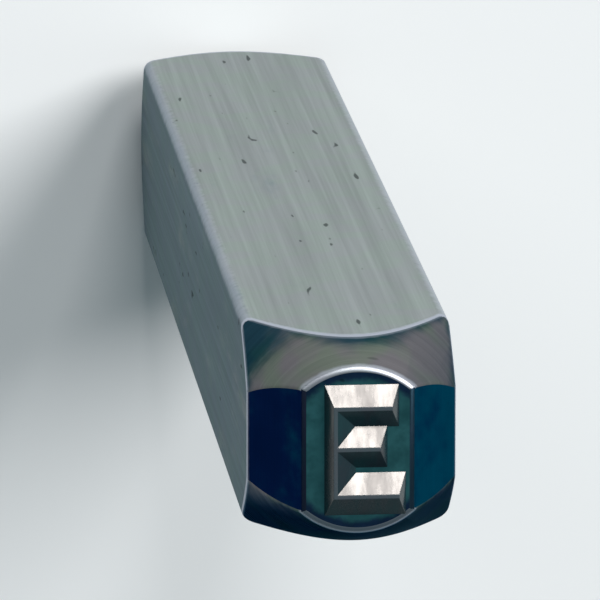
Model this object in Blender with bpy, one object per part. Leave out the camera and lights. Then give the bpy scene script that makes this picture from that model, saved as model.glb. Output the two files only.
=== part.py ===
"""Steel letter punch: a square bar with a turned tip, two ground flats and one raised letter.

The punch stands on its struck end. The origin is the middle of that end, +Z runs along the
punch to the letter, +Y is up on the letter and +X is its right-hand side as it is read.
"""

import math

import bmesh
import bpy

MM = 0.001

# Bar
BAR_WIDTH = 9.0 * MM
OVERALL_LENGTH = 65.0 * MM
BAR_EDGE_RADIUS = 0.45 * MM

# Tip: a cone turned on the bar, with a flat ground on the left and on the right
FACE_DIAMETER = 7.2 * MM
FACE_WIDTH = 4.7 * MM
CONE_HALF_ANGLE = math.radians(24.0)
FLAT_ANGLE = math.radians(36.0)
FACE_RIM_RADIUS = 0.3 * MM

# Struck end: a flat round face inside a turned chamfer
STRUCK_DIAMETER = 7.8 * MM
STRUCK_CHAMFER_ANGLE = math.radians(40.0)
STRUCK_RIM_RADIUS = 0.4 * MM

# Letter: measured over the narrow flats along the top of its strokes
LETTER_HEIGHT = 4.0 * MM
LETTER_RELIEF = 0.6 * MM
STROKE_TOP = 0.15 * MM
BOTTOM_ARM_LENGTH = 2.8 * MM
MIDDLE_ARM_LENGTH = 2.0 * MM
TOP_ARM_LENGTH = 2.5 * MM
MIDDLE_ARM_RISE = 0.15 * MM
LETTER_SHIFT = 0.3 * MM
FLANK_RUN = 0.85 * MM
END_RUN = 0.35 * MM

# Modelling
TURNED_STEPS = 128
BAR_EDGE_STEPS = 7
RIM_STEPS = 4
SHARP_ANGLE = math.radians(20.0)
CUTTER_MARGIN = 2.0 * MM
LETTER_ROOT = 0.3 * MM
WELD_DISTANCE = 0.001 * MM

FACE_Z = OVERALL_LENGTH - LETTER_RELIEF


def clear_scene():
    for old in list(bpy.data.objects):
        bpy.data.objects.remove(old, do_unlink=True)


def blackened_steel():
    material = bpy.data.materials.new("blackened_steel")
    material.use_nodes = True
    shader = material.node_tree.nodes["Principled BSDF"]
    shader.inputs["Base Color"].default_value = (0.055, 0.085, 0.105, 1.0)
    shader.inputs["Metallic"].default_value = 0.85
    shader.inputs["Roughness"].default_value = 0.38
    material.diffuse_color = (0.055, 0.085, 0.105, 1.0)
    return material


def link_object(name, bm):
    """A mesh object in the scene, made from bm with its faces pointing out."""
    bmesh.ops.recalc_face_normals(bm, faces=bm.faces)
    mesh = bpy.data.meshes.new(name)
    bm.to_mesh(mesh)
    bm.free()
    obj = bpy.data.objects.new(name, mesh)
    bpy.context.scene.collection.objects.link(obj)
    return obj


def hide_helper(obj):
    obj.hide_render = True
    obj.display_type = "WIRE"


def add_boolean(obj, operation, other):
    modifier = obj.modifiers.new(f"{operation.lower()} {other.name}", "BOOLEAN")
    modifier.operation = operation
    modifier.solver = "EXACT"
    modifier.object = other


def make_bar():
    """The bar stock: a square prism, longer than the punch, with its four long edges rounded."""
    stock_length = FACE_Z + 2 * CUTTER_MARGIN
    bm = bmesh.new()
    bmesh.ops.create_cube(bm, size=1.0)
    bmesh.ops.scale(bm, verts=bm.verts, vec=(BAR_WIDTH, BAR_WIDTH, stock_length))
    bmesh.ops.translate(bm, verts=bm.verts, vec=(0.0, 0.0, FACE_Z / 2))
    long_edges = [edge for edge in bm.edges if edge.verts[0].co.z * edge.verts[1].co.z < 0]
    bmesh.ops.bevel(
        bm,
        geom=long_edges,
        offset=BAR_EDGE_RADIUS,
        offset_type="OFFSET",
        segments=BAR_EDGE_STEPS,
        profile=0.5,
        affect="EDGES",
    )
    return link_object("letter_punch", bm)


def rim_points(radius, side_angle):
    """The round between an end face and a side that falls away at side_angle from the axis.

    Each point is (distance outward, depth), from the corner where the face and the side would
    meet, and runs from the face down to the side."""
    turn = math.pi / 2 - side_angle
    setback = radius * math.tan(turn / 2)
    points = []
    for step in range(RIM_STEPS + 1):
        angle = turn * step / RIM_STEPS
        points.append((radius * math.sin(angle) - setback, radius * (1 - math.cos(angle))))
    return points


def make_turned_envelope():
    """The solid of revolution that the lathe leaves: chamfer, clearance round the bar, cone."""
    clear_radius = BAR_WIDTH / math.sqrt(2) + CUTTER_MARGIN
    struck_radius = STRUCK_DIAMETER / 2
    face_radius = FACE_DIAMETER / 2
    chamfer_top = (clear_radius - struck_radius) / math.tan(STRUCK_CHAMFER_ANGLE)
    cone_bottom = FACE_Z - (clear_radius - face_radius) / math.tan(CONE_HALF_ANGLE)
    struck_rim = rim_points(STRUCK_RIM_RADIUS, STRUCK_CHAMFER_ANGLE)
    face_rim = rim_points(FACE_RIM_RADIUS, CONE_HALF_ANGLE)
    profile = [(0.0, 0.0)]
    profile += [(struck_radius + out, depth) for out, depth in struck_rim]
    profile += [(clear_radius, chamfer_top), (clear_radius, cone_bottom)]
    profile += [(face_radius + out, FACE_Z - depth) for out, depth in reversed(face_rim)]
    profile += [(0.0, FACE_Z)]
    bm = bmesh.new()
    verts = [bm.verts.new((radius, 0.0, z)) for radius, z in profile]
    edges = [bm.edges.new(pair) for pair in zip(verts, verts[1:])]
    bmesh.ops.spin(
        bm,
        geom=verts + edges,
        cent=(0.0, 0.0, 0.0),
        axis=(0.0, 0.0, 1.0),
        angle=2 * math.pi,
        steps=TURNED_STEPS,
        use_merge=True,
    )
    bmesh.ops.remove_doubles(bm, verts=bm.verts, dist=WELD_DISTANCE)
    centres = [vert for vert in bm.verts if math.hypot(vert.co.x, vert.co.y) < WELD_DISTANCE]
    bmesh.ops.dissolve_verts(bm, verts=centres)
    envelope = link_object("turned_envelope", bm)
    hide_helper(envelope)
    return envelope


def make_flat_cutter(side):
    """The steel that grinding takes off one side of the tip, down to the flat and its rim."""
    outer_x = BAR_WIDTH / 2 + CUTTER_MARGIN
    flat_bottom = FACE_Z - (outer_x - FACE_WIDTH / 2) / math.tan(FLAT_ANGLE)
    rim = [
        (FACE_WIDTH / 2 + out, FACE_Z - depth)
        for out, depth in rim_points(FACE_RIM_RADIUS, FLAT_ANGLE)
    ]
    above = FACE_Z + CUTTER_MARGIN
    outline = [(rim[0][0], above), *rim, (outer_x, flat_bottom), (outer_x, above)]
    half_span = BAR_WIDTH / 2 + CUTTER_MARGIN
    bm = bmesh.new()
    near = bm.faces.new([bm.verts.new((side * x, -half_span, z)) for x, z in outline])
    far = bmesh.ops.extrude_face_region(bm, geom=[near])
    moved = [item for item in far["geom"] if isinstance(item, bmesh.types.BMVert)]
    bmesh.ops.translate(bm, verts=moved, vec=(0.0, 2 * half_span, 0.0))
    cutter = link_object("flat_cutter_right" if side > 0 else "flat_cutter_left", bm)
    hide_helper(cutter)
    return cutter


def make_stroke(name, x_range, y_range, left_run, right_run):
    """One stroke of the letter: a narrow flat on top, and flanks that widen to its foot on the face.

    Below the foot, a root goes down into the tip."""
    x0, x1 = x_range
    y0, y1 = y_range
    foot_x = (x0 - left_run, x1 + right_run)
    foot_y = (y0 - FLANK_RUN, y1 + FLANK_RUN)
    bm = bmesh.new()
    for xs, ys, z in (
        (x_range, y_range, OVERALL_LENGTH),
        (foot_x, foot_y, FACE_Z),
        (foot_x, foot_y, FACE_Z - LETTER_ROOT),
    ):
        for x in xs:
            for y in ys:
                bm.verts.new((x, y, z))
    bmesh.ops.convex_hull(bm, input=bm.verts)
    stroke = link_object(name, bm)
    hide_helper(stroke)
    return stroke


def make_letter():
    """The raised E: a stem, and three arms that start on the middle of its top."""
    left = LETTER_SHIFT - BOTTOM_ARM_LENGTH / 2
    stem_right = left + STROKE_TOP
    arm_start = left + STROKE_TOP / 2
    half_height = LETTER_HEIGHT / 2
    half_top = STROKE_TOP / 2
    letter = make_stroke("stem", (left, stem_right), (-half_height, half_height), END_RUN, FLANK_RUN)
    for name, length, middle in (
        ("top_arm", TOP_ARM_LENGTH, half_height - half_top),
        ("middle_arm", MIDDLE_ARM_LENGTH, MIDDLE_ARM_RISE),
        ("bottom_arm", BOTTOM_ARM_LENGTH, half_top - half_height),
    ):
        across = (middle - half_top, middle + half_top)
        arm = make_stroke(name, (arm_start, left + length), across, END_RUN, END_RUN)
        add_boolean(letter, "UNION", arm)
    return letter


def main():
    clear_scene()
    punch = make_bar()
    add_boolean(punch, "INTERSECT", make_turned_envelope())
    add_boolean(punch, "DIFFERENCE", make_flat_cutter(-1))
    add_boolean(punch, "DIFFERENCE", make_flat_cutter(1))
    add_boolean(punch, "UNION", make_letter())
    punch.data.materials.append(blackened_steel())
    punch.data.shade_smooth()
    punch.data.set_sharp_from_angle(angle=SHARP_ANGLE)


main()
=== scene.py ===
"""Steel letter punch: the finished piece, its blackened finishes and the studio it stands in.

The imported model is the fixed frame. The piece is modelled over it with Blender's own operators,
each listed in the Letter Punch panel of the 3D view's sidebar.
"""

from collections import namedtuple
import math

import bmesh
import bpy
from mathutils import Matrix, Vector


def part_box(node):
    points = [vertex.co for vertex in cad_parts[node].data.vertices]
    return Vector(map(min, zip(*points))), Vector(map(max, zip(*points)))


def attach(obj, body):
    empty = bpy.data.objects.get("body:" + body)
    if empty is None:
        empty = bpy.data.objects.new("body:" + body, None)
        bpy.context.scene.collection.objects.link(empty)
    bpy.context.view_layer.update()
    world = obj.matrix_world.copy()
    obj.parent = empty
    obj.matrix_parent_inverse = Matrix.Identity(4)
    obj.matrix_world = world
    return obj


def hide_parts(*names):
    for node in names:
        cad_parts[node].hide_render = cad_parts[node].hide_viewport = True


bl_info = {
    "name": "Letter Punch",
    "version": (1, 0, 0),
    "blender": (4, 5, 0),
    "location": "View3D > Sidebar > Letter Punch",
    "description": "Models a blackened steel letter punch and the studio it stands in",
    "category": "Add Mesh",
}

MM = 0.001

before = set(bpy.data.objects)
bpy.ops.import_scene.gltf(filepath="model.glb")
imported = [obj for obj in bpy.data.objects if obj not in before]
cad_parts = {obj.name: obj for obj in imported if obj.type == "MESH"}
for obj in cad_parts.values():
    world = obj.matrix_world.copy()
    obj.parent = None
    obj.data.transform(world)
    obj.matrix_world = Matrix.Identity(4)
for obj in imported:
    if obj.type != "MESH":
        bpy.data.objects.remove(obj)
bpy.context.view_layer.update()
NODE_LOW, NODE_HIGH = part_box("letter_punch")


# Properties


def length(name, description, default):
    return bpy.props.FloatProperty(
        name=name,
        description=description,
        default=default,
        subtype="DISTANCE",
        unit="LENGTH",
        precision=5,
    )


def angle(name, description, degrees):
    return bpy.props.FloatProperty(
        name=name,
        description=description,
        default=math.radians(degrees),
        subtype="ANGLE",
        unit="ROTATION",
    )


def colour(name, description, default):
    return bpy.props.FloatVectorProperty(
        name=name,
        description=description,
        default=default,
        size=3,
        subtype="COLOR",
        min=0.0,
        max=1.0,
    )


def amount(name, description, default):
    return bpy.props.FloatProperty(name=name, description=description, default=default, min=0.0)


class PunchSizes(bpy.types.PropertyGroup):
    """Sizes of the steel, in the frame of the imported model"""

    bar_width: length("Bar width", "Across the square bar", NODE_HIGH.x - NODE_LOW.x)
    overall_length: length("Length", "From the struck end to the letter", NODE_HIGH.z - NODE_LOW.z)
    bar_edge: length("Bar edge", "Radius of the four long edges", 0.45 * MM)
    face_diameter: length("Face diameter", "Round face, before its sides are ground", 7.2 * MM)
    face_width: length("Face width", "Face across the two ground flats", 4.7 * MM)
    cone_angle: angle("Cone angle", "Turned cone, from the axis", 24.0)
    flat_angle: angle("Flat angle", "Ground flats, from the axis", 36.0)
    face_rim: length("Face rim", "Radius round the face", 0.3 * MM)
    struck_diameter: length("Struck face", "Round face that the hammer meets", 7.8 * MM)
    chamfer_angle: angle("Struck chamfer", "Turned chamfer, from the axis", 40.0)
    struck_rim: length("Struck rim", "Radius round the struck face", 0.4 * MM)
    edge_break: length("Edge break", "Width taken off the cut edges", 0.09 * MM)
    letter_height: length("Letter height", "Over the tops of the strokes", 4.0 * MM)
    letter_relief: length("Letter relief", "From the face to the stroke tops", 0.6 * MM)
    stroke_top: length("Stroke top", "Flat along the top of a stroke", 0.15 * MM)
    bottom_arm: length("Bottom arm", "Length of the bottom arm", 2.8 * MM)
    middle_arm: length("Middle arm", "Length of the middle arm", 2.0 * MM)
    top_arm: length("Top arm", "Length of the top arm", 2.5 * MM)
    middle_rise: length("Middle arm rise", "Middle arm above the middle of the letter", 0.15 * MM)
    letter_shift: length("Letter shift", "Letter to the right of the middle", 0.3 * MM)
    flank_run: length("Flank run", "Spread of a stroke's long flanks", 0.85 * MM)
    end_run: length("End run", "Spread of a stroke's end", 0.35 * MM)
    ridge_break: length("Ridge break", "Softening along the letter's ridges", 0.03 * MM)


class PunchFinish(bpy.types.PropertyGroup):
    """Colours, wear and painted shade of the steel"""

    bar_colour: colour("Bar", "Blackened bar", (0.270, 0.302, 0.294))
    # Painted shade: the bar is coloured darker towards its left side, where it is to look shaded
    bar_painted_shade: colour("Bar shade", "Painted shade on the left of the bar", (0.160, 0.215, 0.235))
    cone_colour: colour("Cone", "Turned cone", (0.17, 0.18, 0.172))
    # Painted shade on the cone: darker at its left corners, its foot and along its scallops
    cone_painted_shade: colour("Cone shade", "Painted shade at its left, foot and scallops", (0.024, 0.062, 0.078))
    flat_colour: colour("Flats", "Blued ground flats", (0.002, 0.052, 0.090))
    # Partly the film's own change of tint, partly painted shade: the flats go darker and bluer towards
    # the left
    flat_painted_shade: colour("Flat shade", "Deeper blue on the left flat", (0.003, 0.012, 0.055))
    face_colour: colour("Face", "Pressed face", (0.055, 0.20, 0.215))
    # Painted shade on the face, darkest next to its rim
    face_painted_shade: colour("Face shade", "Painted shade round the pressed face", (0.018, 0.045, 0.10))
    letter_colour: colour("Letter", "Film on the letter", (0.006, 0.030, 0.036))
    letter_shade: colour("Letter shade", "Darker film on the letter", (0.004, 0.014, 0.022))
    bare_colour: colour("Bare steel", "Steel where the black is worn through", (0.53, 0.55, 0.62))
    wear_width: length("Wear width", "How far wear reaches from an edge", 0.10 * MM)


class PunchStudio(bpy.types.PropertyGroup):
    """Camera and light"""

    floor_colour: colour("Floor", "Pale studio floor", (0.86, 0.86, 0.86))
    tip_distance: length("Camera distance", "From the letter to the camera", 380.0 * MM)
    tilt: angle("Tilt", "Camera towards the top of the letter, from straight above", 14.0)
    lean: angle("Lean", "Camera towards the left of the letter", 5.5)
    picture_width: length("Picture width", "Width that the picture takes in at the letter", 25.5 * MM)
    soft_power: amount("Soft box", "Power of the soft box over the top of the letter, in watts", 9.5)
    side_power: amount("Side box", "Power of the soft box on the right, in watts", 21.0)
    rim_power: amount("Rim box", "Power of the weak soft box on the left, in watts", 1.8)
    surround_colour: colour("Surround colour", "Cool light from all round", (0.62, 0.90, 1.0))
    surround: amount("Surround", "Strength of the light from all round", 0.17)


# Modelling

TOLERANCE = 0.001 * MM
CUT_MARGIN = 2.0 * MM
LETTER_ROOT = 0.3 * MM
TURNED_SIDES = 240
ROUND_STEPS = 4
EDGE_BREAK_STEPS = 3
RIDGE_BREAK_STEPS = 2

# Points closer than this are merged after turning, grinding, breaking edges and pressing
TURNED_MERGE = 0.03 * MM
GROUND_MERGE = 0.055 * MM
BROKEN_MERGE = 0.002 * MM
PRESSED_MERGE = 0.01 * MM

# The least fold of an edge that is kept, broken, softened as a ridge, or shaded sharp
KEPT_FOLD = math.radians(0.5)
BROKEN_FOLD = math.radians(19.0)
RIDGE_FOLD = math.radians(15.0)
SHARP_FOLD = math.radians(28.0)

# A face slopes where the part of its normal along Z is over SLOPING, and is level where that part is
# over LEVEL. One that slopes is on a ground flat where the part along Y is under SQUARE.
SLOPING = 0.3
LEVEL = 0.999
SQUARE = 0.02


def face_height(sizes):
    """The height of the pressed face, where the letter starts."""
    return sizes.overall_length - sizes.letter_relief


def deselect():
    if bpy.context.object and bpy.context.object.mode != "OBJECT":
        bpy.ops.object.mode_set(mode="OBJECT")
    bpy.ops.object.select_all(action="DESELECT")


def pick(piece):
    """Selects one piece and nothing else, and makes it the active one."""
    deselect()
    piece.select_set(True)
    bpy.context.view_layer.objects.active = piece


def added(name):
    """The primitive that was just added, with its place and size in its mesh."""
    piece = bpy.context.object
    piece.name = name
    piece.data.name = name
    bpy.ops.object.transform_apply(location=True, rotation=True, scale=True)
    return piece


def start_edit(piece, kind):
    """Opens a piece in edit mode, with all of it selected."""
    pick(piece)
    bpy.ops.object.mode_set(mode="EDIT")
    bpy.ops.mesh.select_mode(type=kind)
    bpy.ops.mesh.select_all(action="SELECT")


def end_edit():
    bpy.ops.object.mode_set(mode="OBJECT")


def choose(piece, kind, test):
    """Selects the edges or faces that pass the test, and nothing else."""
    bpy.ops.mesh.select_mode(type=kind)
    bpy.ops.mesh.select_all(action="DESELECT")
    bm = bmesh.from_edit_mesh(piece.data)
    bm.normal_update()
    for item in {"EDGE": bm.edges, "FACE": bm.faces}[kind]:
        item.select_set(bool(test(item)))
    bmesh.update_edit_mesh(piece.data)


def upright(edge):
    run = edge.verts[1].co - edge.verts[0].co
    return math.hypot(run.x, run.y) < TOLERANCE


def level_at(height):
    """A test for edges that lie at one height."""
    return lambda edge: all(abs(vert.co.z - height) < TOLERANCE for vert in edge.verts)


def fold(edge):
    """The angle between an edge's two faces, which is nought where they are in line."""
    return edge.calc_face_angle(0.0) if len(edge.link_faces) == 2 else 0.0


def bevel(offset, segments):
    bpy.ops.mesh.bevel(
        offset=offset,
        offset_type="OFFSET",
        segments=segments,
        profile=0.5,
        affect="EDGES",
        clamp_overlap=False,
    )


def merge(piece, distance):
    start_edit(piece, "VERT")
    bpy.ops.mesh.remove_doubles(threshold=distance)
    end_edit()


def combine(piece, operation, other):
    """Applies a Boolean with the other solid, and removes that solid."""
    pick(piece)
    modifier = piece.modifiers.new(operation, "BOOLEAN")
    modifier.operation = operation
    modifier.solver = "EXACT"
    modifier.object = other
    bpy.ops.object.modifier_apply(modifier=modifier.name)
    bpy.data.objects.remove(other, do_unlink=True)


def smooth(piece):
    """Shades the rounds smooth, and keeps every broad face flat between them."""
    pick(piece)
    bpy.ops.object.shade_smooth_by_angle(angle=SHARP_FOLD)
    modifier = piece.modifiers.new("broad faces", "WEIGHTED_NORMAL")
    modifier.mode = "FACE_AREA"
    modifier.weight = 100
    modifier.keep_sharp = True
    bpy.ops.object.modifier_apply(modifier=modifier.name)


# The steel


def saw_bar(sizes):
    """The square bar stock, longer than the punch, with its long edges rounded."""
    face_z = face_height(sizes)
    deselect()
    bpy.ops.mesh.primitive_cube_add(
        size=1.0,
        location=(0.0, 0.0, face_z / 2),
        scale=(sizes.bar_width, sizes.bar_width, face_z + 2 * CUT_MARGIN),
    )
    bar = added("punch")
    start_edit(bar, "EDGE")
    choose(bar, "EDGE", upright)
    bevel(sizes.bar_edge, ROUND_STEPS)
    end_edit()
    return bar


def setback(radius, side_angle):
    """How far from their corner a round between an end face and a side begins."""
    return radius * math.tan((math.pi / 2 - side_angle) / 2)


def turn_envelope(sizes):
    """The round shape that the lathe leaves: the cone, clearance round the bar and the chamfer."""
    face_z = face_height(sizes)
    face_radius = sizes.face_diameter / 2
    struck_radius = sizes.struck_diameter / 2
    clear = sizes.bar_width / math.sqrt(2) + CUT_MARGIN
    drop = (clear - face_radius) / math.tan(sizes.cone_angle)
    rise = (clear - struck_radius) / math.tan(sizes.chamfer_angle)
    deselect()
    bpy.ops.mesh.primitive_cone_add(
        vertices=TURNED_SIDES,
        radius1=clear,
        radius2=face_radius,
        depth=drop,
        location=(0.0, 0.0, face_z - drop / 2),
        end_fill_type="NGON",
    )
    turned = added("turned")
    start_edit(turned, "FACE")
    choose(turned, "FACE", lambda face: face.normal.z < -LEVEL)
    bpy.ops.mesh.extrude_region_move(
        TRANSFORM_OT_translate={"value": (0.0, 0.0, rise - (face_z - drop))}
    )
    bpy.ops.mesh.extrude_region_move(TRANSFORM_OT_translate={"value": (0.0, 0.0, -rise)})
    shrink = struck_radius / clear
    bpy.ops.transform.resize(value=(shrink, shrink, 1.0), center_override=(0.0, 0.0, 0.0))
    for height, radius, side_angle in (
        (face_z, sizes.face_rim, sizes.cone_angle),
        (0.0, sizes.struck_rim, sizes.chamfer_angle),
    ):
        choose(turned, "EDGE", level_at(height))
        bevel(setback(radius, side_angle), ROUND_STEPS)
    end_edit()
    return turned


def rim_points(radius, side_angle):
    """The round between the face and a side, as (distance outward, depth) from their corner."""
    turn = math.pi / 2 - side_angle
    points = []
    for step in range(ROUND_STEPS + 1):
        at = turn * step / ROUND_STEPS
        out = radius * math.sin(at) - setback(radius, side_angle)
        points.append((out, radius * (1 - math.cos(at))))
    return points


def grind_side(piece, sizes, side):
    """Grinds one side of the tip to a flat, and rounds it into the face, plane by plane.

    Side is 1 for the right and -1 for the left. The last two points lie on the flat itself."""
    face_z = face_height(sizes)
    points = [
        (sizes.face_width / 2 + out, face_z - depth)
        for out, depth in rim_points(sizes.face_rim, sizes.flat_angle)
    ]
    last_x, last_z = points[-1]
    points.append((last_x + math.sin(sizes.flat_angle) * MM, last_z - math.cos(sizes.flat_angle) * MM))
    start_edit(piece, "FACE")
    for (near_x, near_z), (far_x, far_z) in reversed(list(zip(points, points[1:]))):
        normal = Vector((side * (near_z - far_z), 0.0, far_x - near_x)).normalized()
        bpy.ops.mesh.select_all(action="SELECT")
        bpy.ops.mesh.bisect(
            plane_co=(side * near_x, 0.0, near_z),
            plane_no=normal,
            use_fill=True,
            clear_outer=True,
            threshold=TOLERANCE / 10,
        )
    end_edit()


def break_edges(piece, sizes):
    """Takes the sharpness off every edge that turning and grinding left between the two rims."""
    above_struck_rim = 0.2 * MM
    below_face_rim = face_height(sizes) - 0.1 * MM

    def sharp(edge):
        middle = (edge.verts[0].co.z + edge.verts[1].co.z) / 2
        between = above_struck_rim < middle < below_face_rim
        return between and fold(edge) > BROKEN_FOLD and not upright(edge)

    start_edit(piece, "EDGE")
    choose(piece, "EDGE", sharp)
    bevel(sizes.edge_break, EDGE_BREAK_STEPS)
    end_edit()
    merge(piece, BROKEN_MERGE)


def press_stroke(name, sizes, x_range, y_range, left_run, right_run):
    """One stroke: a block as wide as its foot, drawn in to the narrow flat on top.

    The ranges are those of the flat, and the runs are the spread of the flanks to the left and
    right of it. Below the foot, a root goes down into the tip."""
    face_z = face_height(sizes)
    low_x, high_x = x_range[0] - left_run, x_range[1] + right_run
    low_y, high_y = y_range[0] - sizes.flank_run, y_range[1] + sizes.flank_run
    middle_x, middle_y = (low_x + high_x) / 2, (low_y + high_y) / 2
    deselect()
    bpy.ops.mesh.primitive_cube_add(
        size=1.0,
        location=(middle_x, middle_y, face_z - LETTER_ROOT / 2),
        scale=(high_x - low_x, high_y - low_y, LETTER_ROOT),
    )
    stroke = added(name)
    start_edit(stroke, "FACE")
    choose(stroke, "FACE", lambda face: face.normal.z > LEVEL)
    bpy.ops.mesh.extrude_region_move(
        TRANSFORM_OT_translate={"value": (0.0, 0.0, sizes.letter_relief)}
    )
    bpy.ops.transform.resize(
        value=(
            (x_range[1] - x_range[0]) / (high_x - low_x),
            (y_range[1] - y_range[0]) / (high_y - low_y),
            1.0,
        ),
        center_override=(middle_x, middle_y, sizes.overall_length),
    )
    bpy.ops.transform.translate(
        value=(
            (x_range[0] + x_range[1] - low_x - high_x) / 2,
            (y_range[0] + y_range[1] - low_y - high_y) / 2,
            0.0,
        )
    )
    end_edit()
    return stroke


def press_letter(sizes):
    """The raised E: a stem and three arms that start on the middle of its top."""
    left = sizes.letter_shift - sizes.bottom_arm / 2
    half_top = sizes.stroke_top / 2
    half_height = sizes.letter_height / 2
    letter = press_stroke(
        "letter",
        sizes,
        (left, left + sizes.stroke_top),
        (-half_height, half_height),
        sizes.end_run,
        sizes.flank_run,
    )
    for name, reach, line in (
        ("top_arm", sizes.top_arm, half_height - half_top),
        ("middle_arm", sizes.middle_arm, sizes.middle_rise),
        ("bottom_arm", sizes.bottom_arm, half_top - half_height),
    ):
        arm = press_stroke(
            name,
            sizes,
            (left + half_top, left + reach),
            (line - half_top, line + half_top),
            sizes.end_run,
            sizes.end_run,
        )
        combine(letter, "UNION", arm)
    merge(letter, PRESSED_MERGE)
    soften_ridges(letter, sizes)
    return letter


def soften_ridges(letter, sizes):
    """Rounds the letter's ridges a little, and leaves its valleys and its foot as they are."""
    above_foot = face_height(sizes) + 0.05 * MM

    def ridge(edge):
        high = max(vert.co.z for vert in edge.verts) > above_foot
        return high and edge.calc_face_angle_signed(0.0) > RIDGE_FOLD and not upright(edge)

    start_edit(letter, "EDGE")
    bpy.ops.mesh.dissolve_limited(angle_limit=KEPT_FOLD)
    choose(letter, "EDGE", ridge)
    bevel(sizes.ridge_break, RIDGE_BREAK_STEPS)
    end_edit()


# Materials

FLOAT, VECTOR, COLOUR = "NodeSocketFloat", "NodeSocketVector", "NodeSocketColor"

# Each pair is where a smooth step starts and ends on a noise texture's values
PATCH_RANGE = (0.3, 0.7)
SPECK_RANGE = (0.735, 0.785)
HEAT_RANGE = (0.38, 0.62)

SPECK_SCALE = 1900.0
HEAT_SCALE = 480.0
SPECK_COLOUR = (0.004, 0.006, 0.008, 1.0)
HEAT_TINTS = ((0.97, 1.03, 0.90, 1.0), (1.07, 0.93, 1.02, 1.0))

# How far painted shade shifts the patches, how much tool marks change the colour, and how high patches
# stand beside the tool marks
PAINTED_SHADE_SHIFT = 0.3
MARK_CONTRAST = 0.8
PATCH_HEIGHT = 0.5

# The share of fine marks among the tool marks, and the scale of the coarse marks beside theirs
FINE_SHARE = 0.6
COARSE_SCALE = 0.23

# The share of the width of wear where the steel is all bare
BARE_SHARE = 0.35

# How the cone's painted shade lies along its scallops: as if this far from its darkest, and fading so
# many times faster than elsewhere
SCALLOP_START = 1.5 * MM
SCALLOP_RATE = 3.0

# The parts of a finish. A scale is that of a noise texture, and a stretch is that of its coordinate
# on each axis. Wear lies along the nearest of its edges, and painted shade goes along one of EDGES
# from the shade to the colour, darkening the finish where the steel is to look shaded. Shine says
# how far the surface mirrors as metal, and gives the index and level of the film's own shine over
# the rest.
Patches = namedtuple("Patches", "stretch scale")
Marks = namedtuple("Marks", "stretch scale strength height")
Wear = namedtuple("Wear", "edges width strength")
Fade = namedtuple("Fade", "along start end")
Shine = namedtuple("Shine", "metal index level")

EVEN = (1.0, 1.0, 1.0)
METAL = Shine(metal=1.0, index=1.5, level=0.5)


def node(tree, kind, **settings):
    made = tree.nodes.new(kind)
    for key, value in settings.items():
        setattr(made, key, value)
    return made


def plug(tree, value, socket):
    """Links a socket to a socket, or writes a plain value on it."""
    if isinstance(value, bpy.types.NodeSocket):
        tree.links.new(value, socket)
    else:
        socket.default_value = value


def work_out(tree, operation, *values):
    """The result of a Math node."""
    made = node(tree, "ShaderNodeMath", operation=operation)
    for value, socket in zip(values, made.inputs):
        plug(tree, value, socket)
    return made.outputs[0]


def ramp_between(tree, value, start, end, low=0.0, high=1.0):
    """A smooth step from low to high, where the value goes from start to end."""
    made = node(tree, "ShaderNodeMapRange", interpolation_type="SMOOTHSTEP")
    labels = ("Value", "From Min", "From Max", "To Min", "To Max")
    for label, item in zip(labels, (value, start, end, low, high)):
        plug(tree, item, made.inputs[label])
    return made.outputs["Result"]


def blend_colours(tree, factor, first, second, blend_type="MIX"):
    """The result of a Mix node, whose sockets 6, 7 and 2 are the ones for colours."""
    made = node(tree, "ShaderNodeMix", data_type="RGBA", blend_type=blend_type)
    plug(tree, factor, made.inputs[0])
    plug(tree, first, made.inputs[6])
    plug(tree, second, made.inputs[7])
    return made.outputs[2]


def stretched(tree, vector, scale):
    made = node(tree, "ShaderNodeMapping")
    tree.links.new(vector, made.inputs["Vector"])
    made.inputs["Scale"].default_value = scale
    return made.outputs["Vector"]


def noise(tree, vector, scale, detail, roughness=0.55):
    """A noise texture. The scale may be a number or a socket."""
    made = node(tree, "ShaderNodeTexNoise")
    tree.links.new(vector, made.inputs["Vector"])
    plug(tree, scale, made.inputs["Scale"])
    made.inputs["Detail"].default_value = detail
    made.inputs["Roughness"].default_value = roughness
    return made.outputs["Fac"]


def new_group(name, inputs, outputs):
    """A shader node group with named sockets: (name, type, default) in, (name, type) out."""
    tree = bpy.data.node_groups.new(name, "ShaderNodeTree")
    for label, kind, default in inputs:
        socket = tree.interface.new_socket(name=label, in_out="INPUT", socket_type=kind)
        if default is not None:
            socket.default_value = default
    for label, kind in outputs:
        tree.interface.new_socket(name=label, in_out="OUTPUT", socket_type=kind)
    return tree, tree.nodes.new("NodeGroupInput").outputs, tree.nodes.new("NodeGroupOutput").inputs


def use_group(tree, group, **values):
    """Places a node group, with its inputs given by name, and returns its outputs."""
    made = node(tree, "ShaderNodeGroup", node_tree=group)
    for label, value in values.items():
        plug(tree, value, made.inputs[label.replace("_", " ")])
    return made.outputs


EDGES = ("Side", "Cone", "Flat", "Chamfer", "Face", "Long edge", "Painted shade", "Rightward", "Ridge")


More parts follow.
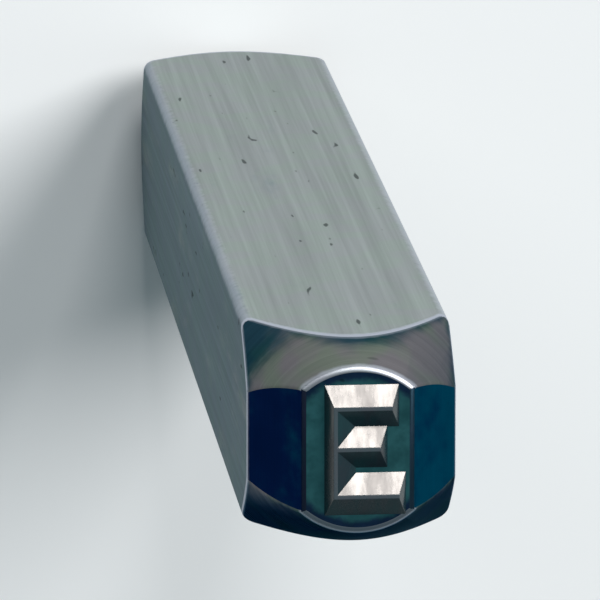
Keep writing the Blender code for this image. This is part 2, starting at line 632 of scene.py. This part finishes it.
def edge_distance_group(sizes):
    """How far a point lies inside each surface that bounds the steel.

    On the steel its own surface gives nought, so each of the others gives the distance to the
    edge that the two share. Long edge and Ridge do the same for the bar's corners and for the tops
    of the letter's strokes. Rightward is the place from left to right, along which shade is painted
    on the left of the bar and the flats. One more distance says how far a point lies from where
    shade is painted darkest on the cone: its left corners, its foot and, in part, its scallops."""
    tree, given, result = new_group(
        "Distance to edge",
        [("Position", VECTOR, None)],
        [(name, FLOAT) for name in EDGES],
    )
    parts = node(tree, "ShaderNodeSeparateXYZ")
    tree.links.new(given["Position"], parts.inputs[0])
    right, up, height = parts.outputs
    x = work_out(tree, "ABSOLUTE", right)
    y = work_out(tree, "ABSOLUTE", up)
    squares = work_out(tree, "MULTIPLY_ADD", x, x, work_out(tree, "MULTIPLY", y, y))
    radius = work_out(tree, "SQRT", squares)
    depth = work_out(tree, "SUBTRACT", face_height(sizes), height)

    def inside(start, along, slope, across):
        """How far inside a side that leaves the given start at this slope from the axis."""
        outline = work_out(tree, "MULTIPLY_ADD", along, math.tan(slope), start)
        return work_out(tree, "MULTIPLY", work_out(tree, "SUBTRACT", outline, across), math.cos(slope))

    side = work_out(tree, "SUBTRACT", sizes.bar_width / 2, work_out(tree, "MAXIMUM", x, y))
    # Distances for the shade painted on the cone: from its left corners, its foot and its scallops
    from_corners = work_out(tree, "ADD", sizes.bar_width, work_out(tree, "SUBTRACT", right, y))
    from_foot = work_out(tree, "ADD", sizes.bar_width / 2, up)
    from_scallops = work_out(tree, "MULTIPLY_ADD", side, SCALLOP_RATE, SCALLOP_START)
    nearest = work_out(tree, "MINIMUM", from_corners, from_foot)
    for name, value in (
        ("Side", side),
        ("Cone", inside(sizes.face_diameter / 2, depth, sizes.cone_angle, radius)),
        ("Flat", inside(sizes.face_width / 2, depth, sizes.flat_angle, x)),
        ("Chamfer", inside(sizes.struck_diameter / 2, height, sizes.chamfer_angle, radius)),
        ("Face", depth),
        ("Long edge", work_out(tree, "SUBTRACT", sizes.bar_width, work_out(tree, "ADD", x, y))),
        ("Painted shade", work_out(tree, "MINIMUM", nearest, from_scallops)),
        ("Rightward", right),
        ("Ridge", work_out(tree, "SUBTRACT", sizes.overall_length, height)),
    ):
        tree.links.new(value, result[name])
    return tree


def edge_wear_group():
    """Bare steel along an edge, with a broken border."""
    tree, given, result = new_group(
        "Edge wear",
        [
            ("Position", VECTOR, None),
            ("Distance", FLOAT, 0.0),
            ("Width", FLOAT, 0.1 * MM),
            ("Breakup", FLOAT, 0.6),
            ("Grain", FLOAT, 2500.0),
        ],
        [("Mask", FLOAT)],
    )
    broken = noise(tree, given["Position"], given["Grain"], detail=4.0, roughness=0.6)
    shift = work_out(tree, "MULTIPLY", work_out(tree, "SUBTRACT", broken, 0.5), given["Breakup"])
    reach = work_out(tree, "MULTIPLY", given["Width"], work_out(tree, "ADD", 1.0, shift))
    all_bare = work_out(tree, "MULTIPLY", reach, BARE_SHARE)
    tree.links.new(ramp_between(tree, given["Distance"], all_bare, reach, 1.0, 0.0), result["Mask"])
    return tree


def tool_marks_group():
    """Fine and coarse parallel marks of a tool, from a coordinate that is stretched along them."""
    tree, given, result = new_group(
        "Tool marks",
        [("Stretched position", VECTOR, None), ("Scale", FLOAT, 1.0), ("Strength", FLOAT, 1.0)],
        [("Marks", FLOAT)],
    )
    coarse_scale = work_out(tree, "MULTIPLY", given["Scale"], COARSE_SCALE)
    fine = noise(tree, given["Stretched position"], given["Scale"], detail=2.0)
    coarse = noise(tree, given["Stretched position"], coarse_scale, detail=2.0)
    fine_part = work_out(tree, "MULTIPLY", fine, FINE_SHARE)
    coarse_part = work_out(tree, "MULTIPLY", coarse, 1.0 - FINE_SHARE)
    both = work_out(tree, "ADD", fine_part, coarse_part)
    centred = work_out(tree, "MULTIPLY", work_out(tree, "SUBTRACT", both, 0.5), given["Strength"])
    tree.links.new(work_out(tree, "ADD", centred, 0.5), result["Marks"])
    return tree


def black_film_group():
    """The black film: soft patches, small dark specks and the faint tints that hardening leaves.

    Lean moves the balance of the patches towards the colour, or below nought towards the shade, which
    is how a finish's painted shade is laid on."""
    tree, given, result = new_group(
        "Black film",
        [
            ("Position", VECTOR, None),
            ("Patch position", VECTOR, None),
            ("Lean", FLOAT, 0.0),
            ("Colour", COLOUR, (0.1, 0.1, 0.1, 1.0)),
            ("Shade", COLOUR, (0.05, 0.05, 0.05, 1.0)),
            ("Patch scale", FLOAT, 300.0),
            ("Specks", FLOAT, 0.5),
            ("Temper", FLOAT, 0.0),
        ],
        [("Colour", COLOUR), ("Patches", FLOAT), ("Specks", FLOAT)],
    )
    patches = noise(tree, given["Patch position"], given["Patch scale"], detail=5.0, roughness=0.62)
    cover = ramp_between(tree, work_out(tree, "ADD", patches, given["Lean"]), *PATCH_RANGE)
    film = blend_colours(tree, cover, given["Shade"], given["Colour"])
    fleck = noise(tree, given["Patch position"], SPECK_SCALE, detail=1.0)
    specks = work_out(tree, "MULTIPLY", ramp_between(tree, fleck, *SPECK_RANGE), given["Specks"])
    specked = blend_colours(tree, specks, film, SPECK_COLOUR)
    heat = noise(tree, given["Position"], HEAT_SCALE, detail=1.5)
    tint = blend_colours(tree, ramp_between(tree, heat, *HEAT_RANGE), *HEAT_TINTS)
    tree.links.new(blend_colours(tree, given["Temper"], specked, tint, "MULTIPLY"), result["Colour"])
    tree.links.new(patches, result["Patches"])
    tree.links.new(specks, result["Specks"])
    return tree


def worn_through(tree, groups, position, edges, wear):
    """Where the film is worn through: at each point the strongest of the finish's wear."""
    worn = 0.0
    for item in wear:
        nearest = edges[item.edges[0]]
        for other in item.edges[1:]:
            nearest = work_out(tree, "MINIMUM", nearest, edges[other])
        made = use_group(tree, groups["wear"], Position=position, Distance=nearest, Width=item.width)
        worn = work_out(tree, "MAXIMUM", worn, work_out(tree, "MULTIPLY", made["Mask"], item.strength))
    return worn


def steel_material(
    name,
    groups,
    film,
    patches,
    specks,
    marks,
    roughness,
    wear,
    painted_shade=None,
    tint=None,
    shine=METAL,
    temper=0.0,
):
    """One finish of the steel.

    film is (colour, shade), specks is their strength, roughness is (smoothest, roughest), tint is
    the tint of the shine, which on metal shows at a glancing angle, and temper is the strength of
    the tints that hardening leaves. The shade colour makes the darker patches and also any painted
    shade. The rest are the tuples named above."""
    finish = bpy.context.scene.punch_finish
    material = bpy.data.materials.new(name)
    material.use_nodes = True
    tree = material.node_tree
    shader = tree.nodes["Principled BSDF"]
    shader.inputs["Metallic"].default_value = shine.metal
    shader.inputs["IOR"].default_value = shine.index
    shader.inputs["Specular IOR Level"].default_value = shine.level
    if tint:
        shader.inputs["Specular Tint"].default_value = (*tint, 1.0)

    position = node(tree, "ShaderNodeTexCoord").outputs["Object"]
    edges = use_group(tree, groups["edges"], Position=position)
    # Painted shade: the patches lean towards the shade colour along one of EDGES
    lean = 0.0
    if painted_shade:
        lean = ramp_between(tree, edges[painted_shade.along], painted_shade.start, painted_shade.end, -PAINTED_SHADE_SHIFT, PAINTED_SHADE_SHIFT)
    black = use_group(
        tree,
        groups["film"],
        Position=position,
        Patch_position=stretched(tree, position, patches.stretch),
        Lean=lean,
        Colour=(*film[0], 1.0),
        Shade=(*film[1], 1.0),
        Patch_scale=patches.scale,
        Specks=specks,
        Temper=temper,
    )
    worn = worn_through(tree, groups, position, edges, wear)
    lines = use_group(
        tree,
        groups["marks"],
        Stretched_position=stretched(tree, position, marks.stretch),
        Scale=marks.scale,
        Strength=marks.strength,
    )["Marks"]

    lit = node(tree, "ShaderNodeHueSaturation")
    brightness = work_out(tree, "MULTIPLY_ADD", lines, MARK_CONTRAST, 1.0 - MARK_CONTRAST / 2)
    tree.links.new(black["Colour"], lit.inputs["Color"])
    tree.links.new(brightness, lit.inputs["Value"])
    base = blend_colours(tree, worn, lit.outputs["Color"], (*finish.bare_colour, 1.0))
    tree.links.new(base, shader.inputs["Base Color"])
    if shine.metal < 1.0:
        metal = work_out(tree, "MULTIPLY_ADD", worn, 1.0 - shine.metal, shine.metal)
        tree.links.new(metal, shader.inputs["Metallic"])
    smoothest, roughest = roughness
    rough = ramp_between(tree, black["Patches"], *PATCH_RANGE, roughest, smoothest)
    tree.links.new(rough, shader.inputs["Roughness"])

    raised = work_out(tree, "MULTIPLY_ADD", black["Patches"], PATCH_HEIGHT, lines)
    bump = node(tree, "ShaderNodeBump")
    bump.inputs["Strength"].default_value = 1.0
    bump.inputs["Distance"].default_value = marks.height
    tree.links.new(work_out(tree, "SUBTRACT", raised, black["Specks"]), bump.inputs["Height"])
    tree.links.new(bump.outputs["Normal"], shader.inputs["Normal"])
    return material


def steel_finishes():
    """The finishes, in the order of the piece's material slots."""
    finish = bpy.context.scene.punch_finish
    width = finish.wear_width
    groups = {
        "edges": edge_distance_group(bpy.context.scene.punch_sizes),
        "wear": edge_wear_group(),
        "marks": tool_marks_group(),
        "film": black_film_group(),
    }
    return [
        steel_material(
            "blackened_bar",
            groups,
            film=(finish.bar_colour, finish.bar_painted_shade),
            patches=Patches(stretch=(1.0, 1.0, 0.25), scale=600.0),
            specks=0.7,
            marks=Marks(stretch=(1.0, 1.0, 0.012), scale=5000.0, strength=1.0, height=0.004 * MM),
            roughness=(0.48, 0.50),
            wear=(
                Wear(edges=("Cone", "Flat", "Chamfer"), width=2.2 * width, strength=1.0),
                Wear(edges=("Long edge",), width=0.5 * MM, strength=0.7),
            ),
            # Painted shade darkens the bar towards its left side
            painted_shade=Fade(along="Rightward", start=-4.7 * MM, end=-3.9 * MM),
            tint=(0.55, 0.60, 0.62),
            shine=Shine(metal=0.45, index=1.5, level=0.0),
            temper=0.3,
        ),
        steel_material(
            "turned_cone",
            groups,
            film=(finish.cone_colour, finish.cone_painted_shade),
            patches=Patches(stretch=(0.3, 0.3, 1.0), scale=450.0),
            specks=0.3,
            marks=Marks(stretch=(0.02, 0.02, 1.0), scale=9000.0, strength=1.0, height=0.006 * MM),
            roughness=(0.36, 0.46),
            wear=(
                Wear(edges=("Side",), width=width, strength=0.3),
                Wear(edges=("Face",), width=0.34 * MM, strength=0.6),
            ),
            # Painted shade at the cone's left corners, its foot and its scallops
            painted_shade=Fade(along="Painted shade", start=0.2 * MM, end=3.6 * MM),
            tint=(0.01, 0.18, 0.26),
            temper=1.0,
        ),
        steel_material(
            "ground_flat",
            groups,
            film=(finish.flat_colour, finish.flat_painted_shade),
            patches=Patches(stretch=EVEN, scale=400.0),
            specks=0.2,
            marks=Marks(stretch=(1.0, 0.05, 1.0), scale=9000.0, strength=0.6, height=0.004 * MM),
            roughness=(0.3, 0.42),
            wear=(
                Wear(edges=("Side",), width=width, strength=0.2),
                Wear(edges=("Face",), width=0.12 * MM, strength=0.08),
            ),
            # Partly the film's tint, partly painted shade: darker and bluer towards the left flat
            painted_shade=Fade(along="Rightward", start=-7.0 * MM, end=9.0 * MM),
            tint=(0.4, 0.45, 0.5),
        ),
        steel_material(
            "pressed_face",
            groups,
            film=(finish.face_colour, finish.face_painted_shade),
            patches=Patches(stretch=EVEN, scale=900.0),
            specks=0.4,
            marks=Marks(stretch=EVEN, scale=5000.0, strength=0.4, height=0.006 * MM),
            roughness=(0.34, 0.48),
            wear=(Wear(edges=("Cone", "Flat"), width=width, strength=0.05),),
            # Painted shade: the face is coloured darker next to its rim
            painted_shade=Fade(along="Cone", start=0.1 * MM, end=0.8 * MM),
        ),
        steel_material(
            "pressed_letter",
            groups,
            film=(finish.letter_colour, finish.letter_shade),
            patches=Patches(stretch=(1.0, 0.3, 0.3), scale=1500.0),
            specks=0.1,
            marks=Marks(stretch=(1.0, 0.06, 0.06), scale=7000.0, strength=0.35, height=0.0015 * MM),
            roughness=(0.17, 0.33),
            wear=(Wear(edges=("Ridge",), width=0.02 * MM, strength=0.1),),
            tint=(1.0, 0.91, 0.85),
            shine=Shine(metal=0.0, index=1.88, level=0.5),
        ),
    ]


def give_finishes(piece, sizes):
    """Gives each part of the punch its own finish, by where its faces point and how high they are.

    The bar's finish comes first, so it stays on what no test finds, such as the bar and the struck
    face. A later test takes over what an earlier one found."""
    for material in steel_finishes():
        piece.data.materials.append(material)
    letter_foot = face_height(sizes) + 2 * TOLERANCE

    def on_cone_or_chamfer(face):
        return SLOPING < abs(face.normal.z) < LEVEL

    def on_flat(face):
        return SLOPING < face.normal.z < LEVEL and abs(face.normal.y) < SQUARE

    def on_face(face):
        return face.normal.z > LEVEL

    def on_letter(face):
        return face.calc_center_median().z > letter_foot

    start_edit(piece, "FACE")
    for slot, test in enumerate((on_cone_or_chamfer, on_flat, on_face, on_letter), start=1):
        choose(piece, "FACE", test)
        piece.active_material_index = slot
        bpy.ops.object.material_slot_assign()
    end_edit()


class MESH_OT_letter_punch(bpy.types.Operator):
    """Cuts, turns, grinds and presses the punch, and gives it its finishes"""

    bl_idname = "mesh.letter_punch"
    bl_label = "Letter Punch"
    bl_options = {"REGISTER", "UNDO"}

    def execute(self, context):
        sizes = context.scene.punch_sizes
        punch = saw_bar(sizes)
        combine(punch, "INTERSECT", turn_envelope(sizes))
        merge(punch, TURNED_MERGE)
        grind_side(punch, sizes, 1)
        grind_side(punch, sizes, -1)
        merge(punch, GROUND_MERGE)
        break_edges(punch, sizes)
        combine(punch, "UNION", press_letter(sizes))
        give_finishes(punch, sizes)
        smooth(punch)
        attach(punch, "root")
        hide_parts("letter_punch")
        return {"FINISHED"}


# The studio

FLOOR_RADIUS = 6.0
FLOOR_SIDES = 128
SENSOR_WIDTH = 36.0

# Where the middle of the picture is, which is a point inside the bar
AIM = Vector((-0.7 * MM, 2.1 * MM, 45.0 * MM))

# A lamp's place, the point that it faces, its width and its depth, in metres
Lamp = namedtuple("Lamp", "place target width depth")
SOFT_BOX = Lamp(place=(0.14, 1.24, 0.91), target=(0.0, 0.0, 0.06), width=0.5, depth=0.42)
SIDE_BOX = Lamp(place=(0.85, 0.72, 1.06), target=(0.0, 0.0, 0.0), width=0.7, depth=0.7)
RIM_BOX = Lamp(place=(-0.77, 0.98, 0.84), target=(0.0, 0.0, 0.06), width=0.8, depth=0.35)


def make_floor(studio):
    """The pale floor that the punch stands on."""
    deselect()
    bpy.ops.mesh.primitive_circle_add(
        vertices=FLOOR_SIDES,
        radius=FLOOR_RADIUS,
        fill_type="NGON",
        location=(0.0, 0.0, 0.0),
    )
    floor = added("floor")
    material = bpy.data.materials.new("studio_floor")
    material.use_nodes = True
    shader = material.node_tree.nodes["Principled BSDF"]
    shader.inputs["Base Color"].default_value = (*studio.floor_colour, 1.0)
    shader.inputs["Roughness"].default_value = 0.9
    shader.inputs["Specular IOR Level"].default_value = 0.1
    floor.data.materials.append(material)


def make_lamp(name, box, power):
    """A soft box that the camera doesn't see."""
    deselect()
    bpy.ops.object.light_add(type="AREA", location=box.place)
    lamp = bpy.context.object
    lamp.name = name
    lamp.data.shape = "RECTANGLE"
    lamp.data.size = box.width
    lamp.data.size_y = box.depth
    lamp.data.energy = power
    facing = Vector(box.target) - Vector(box.place)
    lamp.rotation_euler = facing.to_track_quat("-Z", "Y").to_euler()
    lamp.visible_camera = False


def make_surround(studio):
    """Even light from all round."""
    world = bpy.data.worlds.new("studio_surround")
    bpy.context.scene.world = world
    world.use_nodes = True
    background = world.node_tree.nodes["Background"]
    background.inputs["Color"].default_value = (*studio.surround_colour, 1.0)
    background.inputs["Strength"].default_value = studio.surround


def make_camera(sizes, studio):
    """Looks at the letter as the photograph does: from above, a little from its top and its left."""
    sideways, upwards = -math.sin(studio.lean), math.sin(studio.tilt)
    towards = Vector((sideways, upwards, math.sqrt(1 - sideways**2 - upwards**2)))
    place = Vector((0.0, 0.0, sizes.overall_length)) + towards * studio.tip_distance
    back = (place - AIM).normalized()
    right = Vector((0.0, 1.0, 0.0)).cross(back).normalized()
    up = back.cross(right)
    deselect()
    bpy.ops.object.camera_add(location=place)
    camera = bpy.context.object
    camera.name = "camera"
    turned = ((right.x, up.x, back.x), (right.y, up.y, back.y), (right.z, up.z, back.z))
    camera.rotation_euler = Matrix(turned).to_euler()
    camera.data.sensor_width = SENSOR_WIDTH
    camera.data.lens = SENSOR_WIDTH * studio.tip_distance / studio.picture_width
    camera.data.clip_start = 0.01
    camera.data.clip_end = 20.0
    bpy.context.scene.camera = camera


class SCENE_OT_punch_studio(bpy.types.Operator):
    """Sets the pale floor, the soft light and the camera"""

    bl_idname = "scene.punch_studio"
    bl_label = "Studio"
    bl_options = {"REGISTER", "UNDO"}

    def execute(self, context):
        sizes = context.scene.punch_sizes
        studio = context.scene.punch_studio
        make_floor(studio)
        make_lamp("soft_box", SOFT_BOX, studio.soft_power)
        make_lamp("side_box", SIDE_BOX, studio.side_power)
        make_lamp("rim_box", RIM_BOX, studio.rim_power)
        make_surround(studio)
        make_camera(sizes, studio)
        context.scene.view_settings.view_transform = "Standard"
        return {"FINISHED"}


class VIEW3D_PT_letter_punch(bpy.types.Panel):
    """The sizes, the finish and the studio of the letter punch"""

    bl_label = "Letter Punch"
    bl_idname = "VIEW3D_PT_letter_punch"
    bl_space_type = "VIEW_3D"
    bl_region_type = "UI"
    bl_category = "Letter Punch"

    def draw(self, context):
        for operator, group in (
            (MESH_OT_letter_punch, context.scene.punch_sizes),
            (None, context.scene.punch_finish),
            (SCENE_OT_punch_studio, context.scene.punch_studio),
        ):
            column = self.layout.column(align=True)
            for name in group.bl_rna.properties.keys():
                if name not in {"rna_type", "name"}:
                    column.prop(group, name)
            if operator:
                column.operator(operator.bl_idname)


GROUPS = {"punch_sizes": PunchSizes, "punch_finish": PunchFinish, "punch_studio": PunchStudio}
CLASSES = (
    PunchSizes,
    PunchFinish,
    PunchStudio,
    MESH_OT_letter_punch,
    SCENE_OT_punch_studio,
    VIEW3D_PT_letter_punch,
)


def register():
    for cls in CLASSES:
        bpy.utils.register_class(cls)
    for name, group in GROUPS.items():
        setattr(bpy.types.Scene, name, bpy.props.PointerProperty(type=group))


def unregister():
    for name in GROUPS:
        delattr(bpy.types.Scene, name)
    for cls in reversed(CLASSES):
        bpy.utils.unregister_class(cls)


def main():
    register()
    bpy.ops.scene.punch_studio()
    bpy.ops.mesh.letter_punch()


if __name__ == "__main__":
    main()
